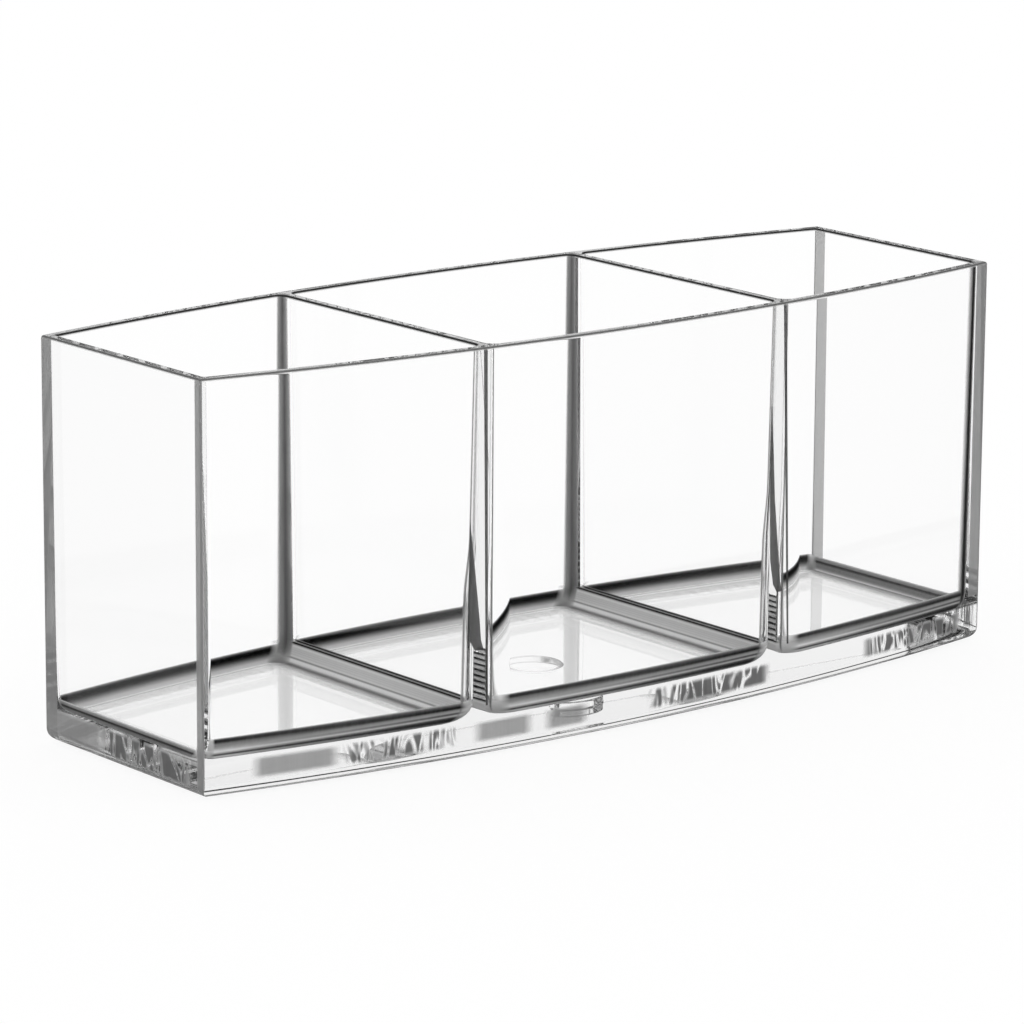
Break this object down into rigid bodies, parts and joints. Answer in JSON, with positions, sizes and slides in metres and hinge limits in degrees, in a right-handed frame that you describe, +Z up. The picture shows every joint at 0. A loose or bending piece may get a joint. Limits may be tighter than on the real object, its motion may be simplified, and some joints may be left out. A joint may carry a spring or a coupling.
{
  "type": "desktop organiser",
  "caption": "Clear open-top organiser box with side-by-side compartments, bowed front and rear walls, upright dividers and a thick base.",
  "frame": {"origin": "middle of the underside, on the surface that the box stands on", "axes": "+X to the right along the long side, +Y towards the rear wall, +Z up out of the open top"},
  "size_m": [0.228, 0.082, 0.092],
  "materials": {
    "clear_plastic": "clear, colourless, polished"
  },
  "bodies": {
    "root": {"base": "clear_plastic", "front_wall": "clear_plastic", "rear_wall": "clear_plastic", "left_end_wall": "clear_plastic", "right_end_wall": "clear_plastic", "left_divider": "clear_plastic", "right_divider": "clear_plastic"}
  },
  "joints": []
}
